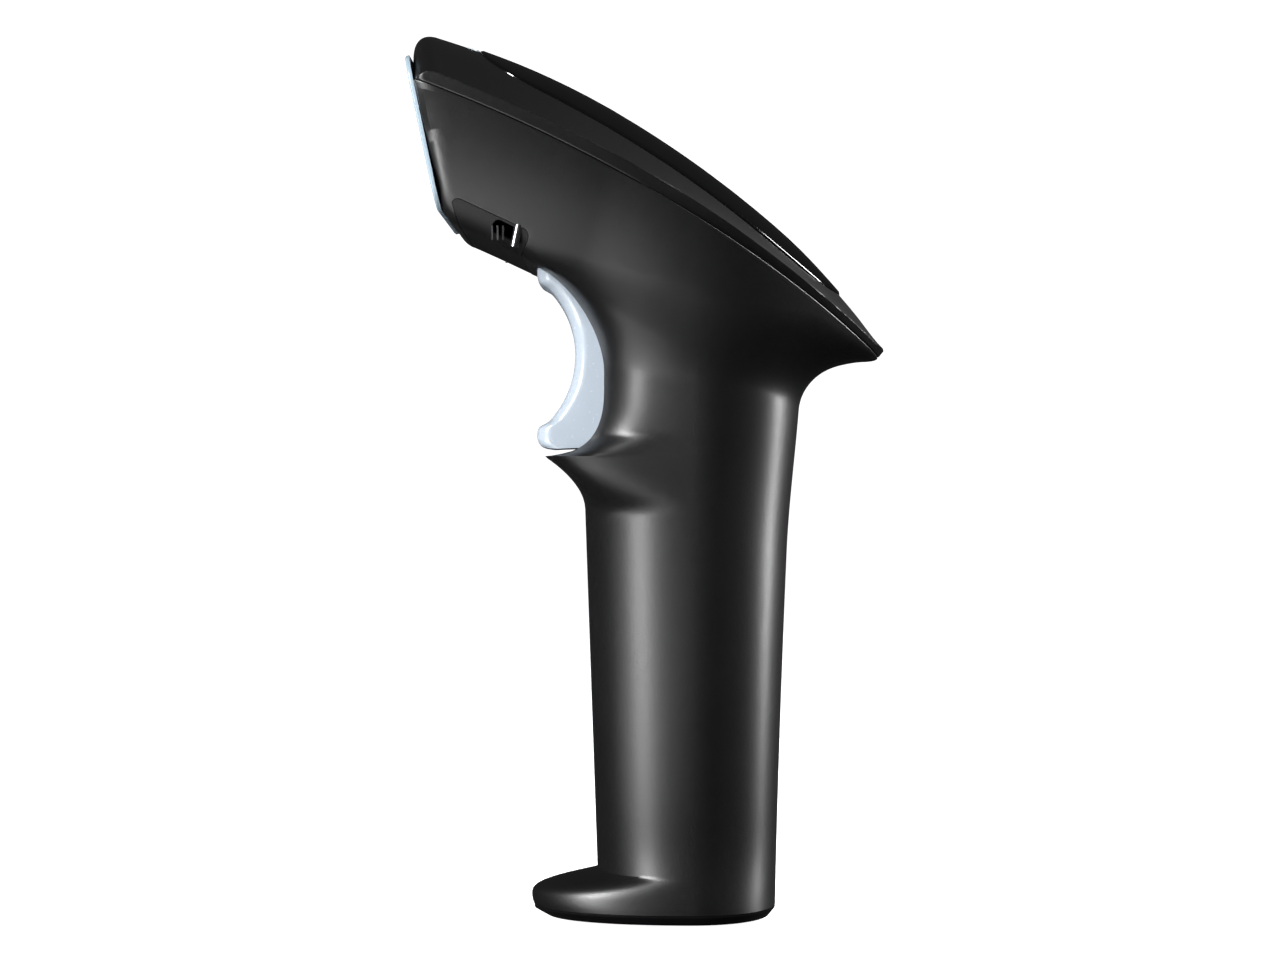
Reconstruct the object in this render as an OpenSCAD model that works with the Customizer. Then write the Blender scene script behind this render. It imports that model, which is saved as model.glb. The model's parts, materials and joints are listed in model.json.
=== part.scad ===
// Pistol-grip barcode scanner for a shop counter, split into the pieces it is assembled from.
// Frame: millimetres, +Z up the grip, nose towards -X, mid-plane y = 0, base face at z = 0.

/* [Head] */
// radius of the parting arc between top cover and housing
part_r = 308.45; // [250:0.5:400]
// parting arc centre, forward of the grip
part_x = -157.26; // [-200:0.5:-100]
// parting arc centre, below the base
part_z = -132.48; // [-200:0.5:-80]
// half width of the head
head_w = 33; // [28:0.5:38]
// length of the head along the parting arc
head_l = 101.2; // [90:0.5:115]
// depth of the head below the parting arc
head_d = 22; // [18:0.5:28]
// inward lean of the head's sides at full depth
side_lean = 4.5; // [0:0.1:8]
// tilt of the nose face, degrees
nose_tilt = 11.83; // [0:0.5:25]

/* [Grip] */
// x of the grip's widest line
grip_x = 0.8; // [-3:0.1:3]
// wall thickness of the housing
wall = 2; // [1.2:0.1:3]
// fillet where head and grip meet
neck_r = 9; // [3:0.5:14]
// reach of the foot beyond the grip
foot_reach = 12.4; // [0:0.1:18]
// height of the finger lip below the trigger
lip_z = 88.4; // [80:0.2:95]

/* [Trigger] */
// half width of the trigger
trig_w = 12.1; // [8:0.1:14]
// side gap between trigger and slot
trig_gap = 0.3; // [0.2:0.05:0.6]
// radius of the finger scoop
scoop_r = 18.4; // [14:0.2:24]
// pivot position, x
pivot_x = -16.3; // [-20:0.1:-10]
// pivot position, z
pivot_z = 121.5; // [115:0.1:126]
// pivot pin radius
pin_r = 1.25; // [1:0.05:2]
// running clearance on radius
run = 0.05; // [0.01:0.01:0.1]

/* [Cable jack] */
// clear width of the modular jack
jack_w = 11.8; // [9:0.1:14]
// clear height of the modular jack
jack_h = 6.8; // [5:0.1:9]
// clear depth of the modular jack
jack_d = 12; // [8:0.5:15]
// centre of the jack behind the origin
jack_x = 6; // [5:0.1:7]

/* [View] */
// node to show, or all

/* [Hidden] */
$fn = 48;
black = [0.09, 0.09, 0.1];
gloss = [0.02, 0.02, 0.025];
blue = [0.72, 0.77, 0.82];
steel = [0.75, 0.76, 0.78];
green = [0.05, 0.3, 0.15];
plan_s = 4;                     // where the plan outline starts to taper
plan_p = 1.95;                  // exponent of the plan outline
phi0 = 20.242;                  // arc angle of the nose corner
nose_x = -51;
nose_z = 160.2;
rows = 52;
half = 22;

// ---- curves ----
function clamp01(t) = min(max(t, 0), 1);
function ss(t) = let (c = clamp01(t)) c * c * (3 - 2 * c);
function part_at(x) = part_z + sqrt(part_r * part_r - (x - part_x) * (x - part_x));
function to_sh(x, z) = [part_r * (atan2(x - part_x, z - part_z) - phi0) * PI / 180,
    norm([x - part_x, z - part_z]) - part_r];
function from_sh(s, h, y = 0) = let (a = phi0 + s / part_r * 180 / PI)
    [part_x + (part_r + h) * sin(a), y, part_z + (part_r + h) * cos(a)];

// smooth curve through a few stations [x, value]
function seg(T, x, i = 0) = i >= len(T) - 2 || x < T[i + 1][0] ? i : seg(T, x, i + 1);
function slope(T, i) = i == 0 ? (T[1][1] - T[0][1]) / (T[1][0] - T[0][0])
    : i == len(T) - 1 ? (T[i][1] - T[i - 1][1]) / (T[i][0] - T[i - 1][0])
    : let (a = T[i][0] - T[i - 1][0], b = T[i + 1][0] - T[i][0])
      ((T[i][1] - T[i - 1][1]) / a * b + (T[i + 1][1] - T[i][1]) / b * a) / (a + b);
function curve(T, x0) = let (x = min(max(x0, T[0][0]), T[len(T) - 1][0]), i = seg(T, x),
    w = T[i + 1][0] - T[i][0], t = (x - T[i][0]) / w, t2 = t * t, t3 = t2 * t)
    (2 * t3 - 3 * t2 + 1) * T[i][1] + (t3 - 2 * t2 + t) * w * slope(T, i)
    + (3 * t2 - 2 * t3) * T[i + 1][1] + (t3 - t2) * w * slope(T, i + 1);

// ---- outer form as a distance-like field, negative inside ----
depth_T = [[35, head_d - 0.4], [60, 20.5], [75, 17], [88, 10.5], [94, 6.8], [97, 4.9], [99, 3.2],
    [head_l, 1.2]];
function round_max(a, b, r) = min(max(a, b), -r) + norm([max(a + r, 0), max(b + r, 0)]);
function round_min(a, b, r) = max(min(a, b), r) - norm([max(r - a, 0), max(r - b, 0)]);
function plan_u(s) = max((s - plan_s) / (head_l - plan_s), 0);
function half_w(s) = head_w * pow(max(1 - pow(plan_u(s), plan_p), 0), 1 / plan_p);
function nose_f(x, z) = -((x - nose_x) * cos(nose_tilt) + (z - nose_z) * sin(nose_tilt));
function lean(h) = side_lean * pow(clamp01(-h / head_d), 1.7);
function head_f(x, y, z) = let (c = to_sh(x, z), s = c[0], d = curve(depth_T, s),
    u = plan_u(s), v = (abs(y) + lean(c[1])) / head_w,
    g = pow(pow(u, plan_p) + pow(v, plan_p), 1 / plan_p) + 1e-9,
    side = (g - 1) / norm([pow(u / g, plan_p - 1) / (head_l - plan_s), pow(v / g, plan_p - 1) / head_w]),
    r = min(4 + 5 * ss((s - 35) / 30), 0.85 * d))
    round_max(round_max(side, -c[1] - d, r), nose_f(x, z), 2.2);
function foot(z) = pow(1 - pow(clamp01((z - 3.8) / 5.6), 3), 1.6);
function blunt(z) = z < lip_z ? 2.1 + 2.9 * ss((z - 77) / 9) : 2.7 + 2.3 * (1 - ss((z - lip_z) / 4));
function side_b(z) = 15.8 + 0.018 * z + 8e-5 * z * z + 1.8 * foot(z);
function slot_x(z) = 15.7 + 10.4 * pow(1 - sqrt(clamp01((z - lip_z) / 12)), 2);
function front_a(z) = z < lip_z
    ? grip_x + 16.8 + 0.0345 * z + foot_reach * foot(z) - 0.12 * pow(max(3.8 - z, 0), 2)
      + 7.2 * pow(clamp01((z - 78) / 10), 2)
    : (grip_x + slot_x(z)) / pow(1 - pow(12.4 / side_b(z), blunt(z)), 1 / blunt(z));
function rear_a(z) = 17.1 + 0.0225 * z + 1.5e-4 * z * z - grip_x;
function grip_f(x, y, z) = let (fr = x < grip_x, n = fr ? blunt(z) : 2.05,
    a = fr ? front_a(z) : rear_a(z), b = side_b(z), u = abs(x - grip_x) / a, v = abs(y) / b,
    g = pow(pow(u, n) + pow(v, n), 1 / n) + 1e-6)
    (g - 1) / (norm([pow(u / g, n - 1) / a, pow(v / g, n - 1) / b]) + 1e-6);
function form(x, y, z) = round_min(head_f(x, y, z), grip_f(x, y, z), neck_r);

// ---- section surfaces that fan from level (grip) to the parting arc (head) ----
// [row, level z, share of arc, drop below arc, corner x, leg angle, ray centre x]
FAN = [[0, 2, 0, 24, -16, 180, 0.8], [40, 80, 0, 24, -16, 180, 0.8],
    [48, 88, 0.14, 24, -16, 180, 0.8], [54, 93, 0.38, 23, -17, 182, 1],
    [60, 99, 0.75, 20.5, -18, 190, 1], [64, 104, 1, 18.2, -21, 215, 0],
    [68, 108, 1, 16.2, -25, 246, 0], [74, 110, 1, 13.2, -31, 262, 0],
    [82, 112, 1, 9.6, -40, 262, -5], [87, 112, 1, 7.2, -44.5, 240, -5],
    [91, 112, 1, 5.4, -47, 205, -5], [96, 112, 1, 2.6, -49.5, 175, -5],
    [100, 112, 1, 0, -53, 160, -5]];
function fan_at(v) = [for (c = [1:6]) curve([for (f = FAN) [f[0], f[c]]], v)];
function soft(t) = (t + sqrt(t * t + 25)) / 2;
function level(f, x) = (1 - f[1]) * f[0] + f[1] * (part_at(x) - f[2]);
function on_fan(f, a, y) = let (x = f[3] + soft(a), q = soft(-a))
    [x + cos(f[4]) * q, y, level(f, x) + sin(f[4]) * q];
function fan_pt(f, r, t) = on_fan(f, f[5] - f[3] + r * cos(t), r * sin(t));
function cast(f, t, d, lo, hi, n) = n == 0 ? (lo + hi) / 2
    : let (m = (lo + hi) / 2, p = fan_pt(f, m, t))
      form(p[0], p[1], p[2]) < -d ? cast(f, t, d, m, hi, n - 1) : cast(f, t, d, lo, m, n - 1);
function ring(f, d) = let (h = [for (j = [0:half]) fan_pt(f, cast(f, j * 180 / half, d, 0, 84, 14),
    j * 180 / half)]) concat(h, [for (j = [half - 1:-1:1]) [h[j][0], -h[j][1], h[j][2]]]);
function row_v(i) = 100 * (i < 8 ? i * 0.0078 : 0.0624 + (i - 8) * 0.9376 / (rows - 8));

// closed skin between two stacks of rings, both open at first and last ring
module shell(outer, inner) {
    m = len(outer[0]);
    n = len(outer);
    pts = concat([for (r = outer, p = r) p], [for (r = inner, p = r) p]);
    side = [for (i = [0:n - 2], j = [0:m - 1]) let (k = (j + 1) % m, a = i * m + j, b = i * m + k)
        each [[a, a + m, b + m], [a, b + m, b]]];
    back = [for (t = side) [t[0] + n * m, t[2] + n * m, t[1] + n * m]];
    rim = [for (j = [0:m - 1]) let (k = (j + 1) % m, e = (n - 1) * m)
        each [[j, k, k + n * m], [j, k + n * m, j + n * m],
            [e + k, e + j, e + j + n * m], [e + k, e + j + n * m, e + k + n * m]]];
    polyhedron(pts, concat(side, back, rim), convexity = 12);
}

// closed solid from a stack of equal rings, with fan caps
module loft(r) {
    m = len(r[0]);
    n = len(r);
    polyhedron([for (q = r, p = q) p], concat(
        [for (i = [0:n - 2], j = [0:m - 1]) let (k = (j + 1) % m, a = i * m + j, b = i * m + k)
            each [[a, b, b + m], [a, b + m, a + m]]],
        [for (j = [1:m - 2]) [0, j + 1, j]],
        [for (j = [1:m - 2]) let (e = (n - 1) * m) [e, e + j, e + j + 1]]), convexity = 8);
}

// thin plate between two equal grids
module plate(top, bottom) {
    m = len(top[0]);
    n = len(top);
    o = n * m;
    face = [for (i = [0:n - 2], j = [0:m - 2]) let (a = i * m + j)
        each [[a, a + m, a + m + 1], [a, a + m + 1, a + 1]]];
    under = [for (t = face) [t[0] + o, t[2] + o, t[1] + o]];
    edge = concat([for (j = [0:m - 2]) [j, j + 1]], [for (j = [0:m - 2]) [o - m + j + 1, o - m + j]],
        [for (i = [0:n - 2]) [(i + 1) * m, i * m]], [for (i = [0:n - 2]) [(i + 1) * m - 1, (i + 2) * m - 1]]);
    polyhedron(concat([for (r = top, p = r) p], [for (r = bottom, p = r) p]),
        concat(face, under, [for (e = edge) each [[e[0], e[1], e[1] + o], [e[0], e[1] + o, e[0] + o]]]),
        convexity = 8);
}

// evaluate a mesh-only boolean as one closed mesh
module mesh() resize([0, 0, 0]) children();

// ---- frames ----
module nose_at(x = 0) translate([nose_x, 0, nose_z]) rotate([0, -nose_tilt, 0]) translate([x, 0, 0])
    children();
module nose_plate(x, t) nose_at(x) rotate([90, 0, 90]) linear_extrude(t) children();
module engine_at() nose_at() translate([0, 0, -15]) rotate([0, nose_tilt + 18, 0]) children();
module board_at() translate(from_sh(46, 2.4)) rotate([0, phi0 + 46 / part_r * 180 / PI, 0]) children();
module pivot_at() translate([pivot_x, 0, pivot_z]) children();
module along_y(w) rotate([90, 0, 0]) translate([0, 0, -w]) linear_extrude(2 * w) children();
function rounded(w, lo, hi, r, n = 6) = [for (c = [[w - r, hi - r, 0], [r - w, hi - r, 90],
    [r - w, lo + r, 180], [w - r, lo + r, 270]], k = [0:n])
    [c[0] + r * cos(c[2] + 90 * k / n), c[1] + r * sin(c[2] + 90 * k / n)]];
module screw(l, r = 1, head = 1.9) {
    translate([0, 0, -l]) cylinder(h = l, r = r, $fn = 24);
    difference() {
        cylinder(h = 1.3, r = head, $fn = 32);
        translate([0, 0, 0.6]) cylinder(h = 1, r = 0.8, $fn = 6);
    }
}

// ---- roof of the top cover over arc length s and width y ----
roof_T = [[-8, 11.4], [6, 12.1], [15, 12.5], [31, 12.4], [41, 12.1], [52, 11.2], [64, 9.8],
    [77, 7.3], [86, 5], [93, 3.7], [98, 2.4], [103, 1.6]];
function band(s) = 2.4 - 1.0 * ss((s - 50) / 50);
function roof(s, y) = band(s) + (curve(roof_T, s) - band(s))
    * (1 - pow(abs(y) / head_w, plan_p) / max(1 - pow(plan_u(s), plan_p), 0.04));
function cover_f(s, y, h) = let (u = plan_u(s), v = abs(y) / head_w,
    g = pow(pow(u, plan_p) + pow(v, plan_p), 1 / plan_p) + 1e-9,
    side = (g - 1) / norm([pow(u / g, plan_p - 1) / (head_l - plan_s), pow(v / g, plan_p - 1) / head_w]),
    p = from_sh(s, h), nf = nose_f(p[0], p[2]), top = (h - roof(s, y)) / 1.15)
    max(round_max(side, nf, 2.2), round_max(top, nf, 3.5));
function dome(s, a, r, t) = [s - r * sin(t) * cos(a), r * cos(t), r * sin(t) * sin(a)];
function cast_dome(s, a, t, d, lo, hi, n) = n == 0 ? (lo + hi) / 2
    : let (m = (lo + hi) / 2, q = dome(s, a, m, t))
      cover_f(q[0], q[1], q[2]) < -d ? cast_dome(s, a, t, d, m, hi, n - 1)
                                     : cast_dome(s, a, t, d, lo, m, n - 1);
function dome_pt(s, a, t, d) = let (q = dome(s, a, cast_dome(s, a, t, d, 0, 48, 14), t))
    from_sh(q[0], q[2], q[1]);
dome_rows = [for (i = [0:8]) [2 + i, i * 11.25], for (i = [1:20]) [10 + i * 4, 90],
    for (i = [1:6]) [90 + i, 90 + 15 * i]];
function cover_grid(d) = [for (r = dome_rows) [for (j = [0:24]) dome_pt(r[0], r[1], j * 7.5, d)]];

// ---- glossy inlay on the roof ----
function inlay_y(s) = 22.4 * (1 - 0.28 * pow((s - 7) / 80, 3))
    * pow(max(1 - pow(abs(s - 47.5) / 40.7, 7), 0), 1 / 2.6);
function inlay_row(s, g, lift) = let (w = max(inlay_y(s) + g, 0.4)) [for (t = [1:-0.125:-1])
    let (y = w * t) from_sh(s + g * (s - 47.5) / 40.7, roof(s, y) + lift, y)];
inlay_s = [for (k = [0:24]) 47.5 - 40.4 * cos(k * 7.5)];
module inlay_slab(g, lo, hi) plate([for (s = inlay_s) inlay_row(s, g, hi)],
    [for (s = inlay_s) inlay_row(s, g, lo)]);
module pipe_slab(g, lo, hi) plate([for (s = [5.1 - g, 6.9 + g]) [for (t = [1:-0.25:-1])
    from_sh(s, roof(s, 8 * t) + hi, (8 + g) * t)]], [for (s = [5.1 - g, 6.9 + g])
    [for (t = [1:-0.25:-1]) from_sh(s, roof(s, 8 * t) + lo, (8 + g) * t)]]);

// ---- strap bracket that wraps the head's lower front edge ----
function wrap_f(s, y, h) = let (p = from_sh(s, h, y)) form(p[0], y, p[2]);
function cast_wrap(s, t, d, lo, hi, n) = n == 0 ? (lo + hi) / 2 : let (m = (lo + hi) / 2)
    wrap_f(s, m * cos(t), -9 - m * sin(t)) < -d ? cast_wrap(s, t, d, m, hi, n - 1)
                                                : cast_wrap(s, t, d, lo, m, n - 1);
function wrap_row(i, g, d) = [for (k = [24:-1:0]) let (e = 15.5 - 2.5 * g, t = e + k * (180 - 2 * e) / 24,
    lo = 16.4 - g + 3 * sin(t), s = lo + i * (31.8 + g - lo) / 6, m = cast_wrap(s, t, d, 0, 60, 13))
    from_sh(s, -9 - m * sin(t), m * cos(t))];
module wrap_slab(g, d_out, d_in) plate([for (i = [0:6]) wrap_row(i, g, d_out)],
    [for (i = [0:6]) wrap_row(i, g, d_in)]);
module strap_slot(g = 0) for (m = [-1, 1]) translate([-33.4, m * 30, 129.3]) rotate([0, 27, 0])
    rotate([90, 0, 0]) hull() for (x = [-1.55, 1.55]) translate([x, 0, -6])
        cylinder(h = 12, r = 1.35 + g, $fn = 24);

module pins_at(g) for (m = [-1, 1]) {
    translate([-31.9, m * 28.1, 126.4 - g]) rotate([0, 12, 0])
        cylinder(h = 5.2 + 2 * g, r = 0.85 + g, $fn = 16);
    for (x = [-36, -35, -34]) translate([x - 0.15 - g, m * 28.1 - 0.5 - g, 127.6 - g])
        cube([0.3 + 2 * g, 1 + 2 * g, 2.6 + 2 * g]);
}

// ---- openings through the shells ----
module slot_cut() along_y(trig_w + trig_gap) polygon([[-45, lip_z - 0.2], [-9, lip_z - 0.2],
    [-9, 120], [-15, 127.5], [-28.9, 127.5], [-28.9, 116], [-45, 116]]);
module nose_cut() nose_plate(-4, 8) polygon(rounded(26, -24.5, -1.5, 4));
module engine_posts(r, lo, hi) engine_at() for (m = [-1, 1]) translate([20, 15.5 * m, lo])
    cylinder(h = hi - lo, r = r, $fn = 24);
module base_posts(r, lo, hi) for (x = [-21.5, -6.5]) translate([x, 0, lo])
    cylinder(h = hi - lo, r = r, $fn = 24);
module bracket_posts(r, lo, hi) for (m = [-1, 1], z = [97, 119]) translate([lo, 10 * m, z])
    rotate([0, 90, 0]) cylinder(h = hi - lo, r = r, $fn = 24);
module board_posts(r, lo, hi) board_at() for (p = [[-20, 14], [-20, -14], [17, 0]])
    translate([p[0], p[1], lo]) cylinder(h = hi - lo, r = r, $fn = 24);
module lug_at() translate(from_sh(12, 0)) rotate([0, phi0 + 12 / part_r * 180 / PI, 0]) children();
module cover_posts(r, lo, hi) lug_at() for (m = [-1, 1]) translate([0, 27.5 * m, lo])
    cylinder(h = hi - lo, r = r, $fn = 24);
module cover_lugs() lug_at() for (m = [-1, 1]) translate([-3, m * 28.2 - 3.3, -2.6]) cube([6, 6.6, 1.7]);

// ---- shells and skins ----
module main_housing() color(black) mesh() difference() {
    union() {
        shell([for (i = [0:rows]) ring(fan_at(row_v(i)), 0)],
            [for (i = [0:rows]) ring(fan_at(row_v(i)), wall)]);
        engine_posts(2.3, -11.9, -6.55);
        base_posts(2.6, 4.05, 7.2);
        translate([-16, -0.8, 4.05]) cube([9.5, 1.6, 7]);
        bracket_posts(2.4, 0.05, 14.8);
        for (m = [-1, 1]) translate([6, 10 * m - 0.8, 95]) cube([8.8, 1.6, 24]);
        cover_lugs();
    }
    slot_cut();
    nose_cut();
    wrap_slab(0.12, -1, 1.22);
    strap_slot();
    pins_at(0.02);
    cover_posts(1.05, -4, 0);
    engine_posts(1.05, -10.9, -5);
    base_posts(1.05, 3, 8);
    bracket_posts(1.05, -1, 7);
}
module top_cover() color(black) mesh() difference() {
    union() {
        plate(cover_grid(0), cover_grid(1.8));
        board_posts(2.2, 1.25, 5.6);
        cover_posts(2.2, -0.8, 4.4);
    }
    inlay_slab(0.12, -1.1, 3);
    pipe_slab(0.1, -1.1, 3);
    nose_cut();
    board_posts(1.05, 0, 4.6);
    cover_posts(1.05, -2, 3);
}
module top_inlay() color(gloss) inlay_slab(0, -1, 0.45);
module status_light_pipe() color([0.85, 0.9, 0.95]) intersection() {
    pipe_slab(0, -1, 0.25);
    translate([-60, -20, 150]) cube([30, 40, 30]);
}
module nose_bezel() color(blue) difference() {
    union() {
        nose_plate(-0.9, 0.4) polygon(rounded(30, -27.1, 1.3, 5.5));
        nose_plate(-0.5, 0.45) polygon(rounded(30.5, -27.6, 1.8, 6));
        nose_plate(-0.05, 1.25) polygon(rounded(25.85, -24.35, -1.65, 3.85));
    }
    nose_plate(-2, 5) polygon(rounded(24, -22.5, -3.5, 2.5));
}
module scan_window() color([0.15, 0.02, 0.04, 0.6]) nose_plate(1.25, 1.5)
    polygon(rounded(25.85, -24.35, -1.65, 3.85));
module window_gasket() color([0.05, 0.05, 0.05]) difference() {
    nose_plate(2.8, 0.9) polygon(rounded(25.85, -24.35, -1.65, 3.85));
    nose_plate(2, 3) polygon(rounded(24, -22.5, -3.5, 2.5));
}
module strap_bracket() color([0.06, 0.06, 0.065]) mesh() difference() {
    wrap_slab(0, -0.05, 1.15);
    strap_slot(-0.1);
    pins_at(0.02);
}
module strap_pins() color(steel) pins_at(0);

// ---- trigger ----
arc_c = [-39.6, 107.3];
scoop = concat([[-28.2, 125.2], [-28.4, 123.2], [-28.35, 122], [-27.8, 120.9]],
    [for (k = [0:13]) let (a = 43 - k * 6.6) arc_c + scoop_r * [cos(a), sin(a)]],
    [[-28, 93.6], [-28.4, 92.2], [-28.2, 90.8], [-27.3, 89.8], [-25.8, 89.45]]);
heel = concat([[-19.5, 125.8], [-18, 125.4], [-16.6, 124.8], [-14.6, 123.4]],
    [for (k = [0:13]) [-13 + 0.4 * cos(k * 25), 121.2 - k * 1.93]],
    [[-13.6, 94], [-14.6, 92.2], [-16, 91], [-18, 90.1], [-20, 89.7]]);
function lens(i, w, r, a, b) = let (f = scoop[i], k = heel[i], d = norm(f - k), e = (f - k) / d,
    c = min(r, d / 3), h = concat([[w, -a]], [for (t = [0:30:90])
    [w - c + c * cos(t), d - b - c + c * sin(t)]], [[w / 2, d - b + 0.15]]),
    q = concat(h, [for (j = [len(h) - 1:-1:0]) [-h[j][0], h[j][1]]]))
    [for (p = q) [k[0] + e[0] * p[1], p[0], k[1] + e[1] * p[1]]];
module trigger() color(blue) mesh() difference() {
    loft([for (i = [0:len(scoop) - 1]) lens(i, trig_w, 3, 0, 0)]);
    loft([for (i = [2:len(scoop) - 4]) lens(i, trig_w - 1.8, 1.5, 3, 1.8)]);
    pivot_at() along_y(20) circle(r = 1.7, $fn = 24);
}
module trigger_arm() color(black) difference() {
    union() {
        pivot_at() along_y(9.9) circle(r = 2.6);
        along_y(3) polygon([[-18.2, 119.9], [-14.4, 123.2], [-10.4, 114], [-10.4, 92.8],
            [-12.4, 92.8], [-12.4, 103.5], [-19.2, 103.5], [-19.2, 109], [-15, 111]]);
        translate([-10.5, 0, 111]) rotate([0, 90, 0]) cylinder(h = 3.85, r = 1.2);
        translate([-10.5, 0, 96]) rotate([0, 90, 0]) cylinder(h = 1.6, r = 1.8);
    }
    pivot_at() along_y(12) circle(r = pin_r + run);
}
module trigger_pivot_pin() color(steel) pivot_at() along_y(14.6) circle(r = pin_r);
module trigger_bracket() color([0.2, 0.2, 0.21]) difference() {
    union() {
        translate([-1.5, -14.6, 92]) cube([1.5, 29.2, 33]);
        for (y = [-14.6, 12.75]) translate([0, y + 1.85, 0]) rotate([90, 0, 0]) linear_extrude(1.85)
            union() {
                translate([pivot_x, pivot_z]) circle(r = 2.4);
                polygon([[0, 110], [0, 125], [pivot_x + 0.6, pivot_z + 2.3],
                    [pivot_x - 1, pivot_z - 2.1]]);
            }
        translate([-4, 0, 96]) rotate([0, 90, 0]) cylinder(h = 3, r = 1.8);
    }
    pivot_at() along_y(20) circle(r = pin_r + 0.02);
    bracket_posts(1.1, -3, 2);
}
module trigger_return_spring() color(steel) {
    turns = 5;
    n = 12 * turns;
    loft([for (i = [0:n]) [for (j = [0:5]) let (a = i * 30, b = -j * 60,
        r = 2.35 + 0.28 * cos(b)) [-8.6 + 0.3 + 4 * i / n + 0.28 * sin(b), r * cos(a),
            96 + r * sin(a)]]]);
}
module trigger_switch() color([0.12, 0.12, 0.13]) difference() {
    translate([-4.5, -3, 108]) cube([1.75, 6, 6]);
    translate([-6, 0, 111]) rotate([0, 90, 0]) cylinder(h = 3, r = 1.2 + run);
}
module switch_plunger() color([0.85, 0.85, 0.8]) translate([-6.3, 0, 111]) rotate([0, 90, 0])
    cylinder(h = 2.3, r = 1.2);
module switch_board() color(green) difference() {
    translate([-2.7, -7, 102]) cube([1.15, 14, 18]);
    bracket_posts(3, -4, 0);
}

// ---- scan engine and electronics ----
module main_board() color(green) difference() {
    board_at() linear_extrude(1.2) polygon([[-26, -19], [4, -19], [24, -9], [24, 9], [4, 19],
        [-26, 19]]);
    board_posts(1.15, -2, 3);
}
module board_chips() color([0.1, 0.1, 0.11]) board_at() {
    translate([-10, -5, 1.22]) cube([10, 10, 1.2]);
    translate([4, -4, 1.22]) cube([7, 8, 1]);
    translate([-8, -15, 1.22]) cube([5, 6, 0.9]);
    translate([-16, 5, -1.32]) cube([12, 7, 1.3]);
    translate([-23, -5, -2.42]) cube([3, 10, 2.4]);
}
module buzzer() color([0.08, 0.08, 0.08]) board_at() difference() {
    translate([10, 0, -4.6]) cylinder(h = 4.58, r = 4.5);
    translate([10, 0, -5]) cylinder(h = 1.4, r = 0.9);
}
module board_screws() color(steel) board_at() for (p = [[-20, 14], [-20, -14], [17, 0]])
    translate([p[0], p[1], -0.02]) rotate([180, 0, 0]) screw(4.4);
module engine_chassis() color([0.07, 0.07, 0.075]) engine_at() difference() {
    union() {
        translate([12, -19, -6.5]) cube([26, 38, 1.5]);
        translate([7.25, -20, 4.2]) cube([1.5, 40, 5.3]);
        translate([7.25, -6, 4.2]) cube([10, 12, 1]);
        translate([14, -8, -5.2]) cube([6, 16, 10.4]);
        for (y = [-19, 17.5]) translate([24, y, -5.2]) cube([14, 1.5, 7]);
    }
    translate([10, 0, 0]) rotate([0, 90, 0]) cylinder(h = 14, r = 4.05);
    for (m = [-1, 1]) translate([20, 15.5 * m, -8]) cylinder(h = 4, r = 1.15, $fn = 24);
}
module engine_screws() color(steel) engine_at() for (m = [-1, 1]) translate([20, 15.5 * m, -4.98])
    screw(5.6, 1, 1.45);
module lens_barrel() color([0.05, 0.05, 0.05]) engine_at() translate([11, 0, 0]) rotate([0, 90, 0])
    difference() {
        cylinder(h = 12, r = 4);
        translate([0, 0, -1]) cylinder(h = 3.2, r = 3.1);
        translate([0, 0, 1]) cylinder(h = 12, r = 2.4);
    }
module imaging_lens() color([0.6, 0.7, 0.8, 0.5]) engine_at() translate([11.6, 0, 0])
    rotate([0, 90, 0]) cylinder(h = 1.5, r = 3.05);
module ccd_sensor() color([0.25, 0.22, 0.3]) engine_at() translate([31.5, -15, -3]) cube([3.4, 30, 6]);
module sensor_board() color(green) engine_at() translate([35, -17, -4.9]) cube([1.2, 34, 9.6]);
module illumination_board() color(green) engine_at() translate([6, -20, 5.2]) cube([1.2, 40, 4.3]);
module illumination_leds() color([0.8, 0.1, 0.1]) engine_at() for (y = [-16:8:16])
    translate([4.1, y, 7.3]) rotate([0, 90, 0]) cylinder(h = 1.85, r = 1.3, $fn = 24);
module flex_harness() color([0.8, 0.78, 0.7]) along_y(3.5) polygon([[5.8, 16.1],
    [6.8, 16.1], [15.2, 27], [15.2, 100], [8, 126.2], [7.4, 126], [14.6, 99.9], [14.6, 27.3]]);

// ---- base ----
function egg(z, g, n = 72) = [for (k = [0:n - 1]) let (t = k * 360 / n, c = cos(t), s = sin(t),
    fr = c < 0, e = fr ? blunt(z) : 2.05, a = fr ? front_a(z) : rear_a(z), b = side_b(z),
    q = pow(pow(abs(c) / (a + g), e) + pow(abs(s) / (b + g), e), -1 / e)) [grip_x + q * c, q * s]];
module base_plate() color(gloss) difference() {
    union() {
        hull() {
            linear_extrude(0.02) polygon(egg(0, -1.2));
            translate([0, 0, 1.5]) linear_extrude(0.45) polygon(egg(2, -0.05));
        }
        translate([0, 0, 1.9]) linear_extrude(2.1) polygon(egg(4, -2.35));
    }
    translate([jack_x - 5, -7.9, -1]) cube([11.8, 15.8, 8]);
    base_posts(1.15, -1, 6);
    base_posts(2.1, -1, 1.6);
}
module base_screws() color(steel) for (x = [-21.5, -6.5]) translate([x, 0, 1.58])
    rotate([180, 0, 0]) screw(4.4);
module cover_screws() color(steel) lug_at() for (m = [-1, 1]) translate([0, 27.5 * m, -2.62])
    rotate([180, 0, 0]) screw(5.2);
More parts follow.
